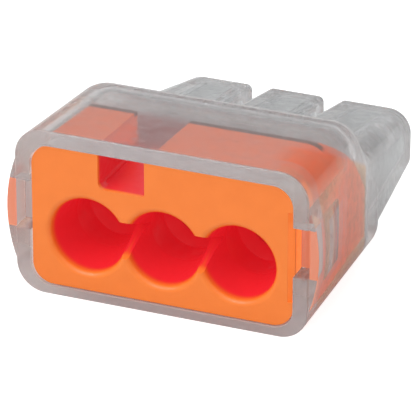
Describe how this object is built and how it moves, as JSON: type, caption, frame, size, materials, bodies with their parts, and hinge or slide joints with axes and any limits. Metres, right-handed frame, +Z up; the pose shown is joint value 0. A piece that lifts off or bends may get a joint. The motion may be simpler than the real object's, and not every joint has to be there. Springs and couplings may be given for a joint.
{
  "type": "push-in wire connector",
  "caption": "Push-in wire connector: clear housing with rear snouts, orange wire guide with merged funnel ports, tinned busbar and steel clip whose spring fingers grip the wires.",
  "frame": {"origin": "middle of the bounding box at its base, where the connector lies on its flat underside", "axes": "-Y out of the wire ports, +Y towards the snouts, +Z up, +X to the right seen from the ports"},
  "size_m": [0.02, 0.022, 0.0107],
  "materials": {
    "clear_plastic": "clear moulded polycarbonate, glossy",
    "orange_plastic": "moulded plastic, satin gloss",
    "tinned_copper": "tin-plated copper, bright satin",
    "spring_steel": "rolled stainless strip"
  },
  "bodies": {
    "connector_body": {"housing": "clear_plastic", "wire_guide": "orange_plastic", "busbar": "tinned_copper", "clip_frame": "spring_steel"},
    "finger_left": {"spring_finger_left": "spring_steel"},
    "finger_middle": {"spring_finger_middle": "spring_steel"},
    "finger_right": {"spring_finger_right": "spring_steel"}
  },
  "joints": [
    {"name": "finger_left_flex", "type": "hinge", "parent": "connector_body", "child": "finger_left", "pos_m": [-0.00485, -0.00325, 0.00655], "axis": [1, 0, 0], "range_deg": [0, 30], "stiffness_Nm_per_rad": 0.05},
    {"name": "finger_middle_flex", "type": "hinge", "parent": "connector_body", "child": "finger_middle", "pos_m": [0, -0.00325, 0.00655], "axis": [1, 0, 0], "range_deg": [0, 30], "stiffness_Nm_per_rad": 0.05},
    {"name": "finger_right_flex", "type": "hinge", "parent": "connector_body", "child": "finger_right", "pos_m": [0.00485, -0.00325, 0.00655], "axis": [1, 0, 0], "range_deg": [0, 30], "stiffness_Nm_per_rad": 0.05}
  ]
}
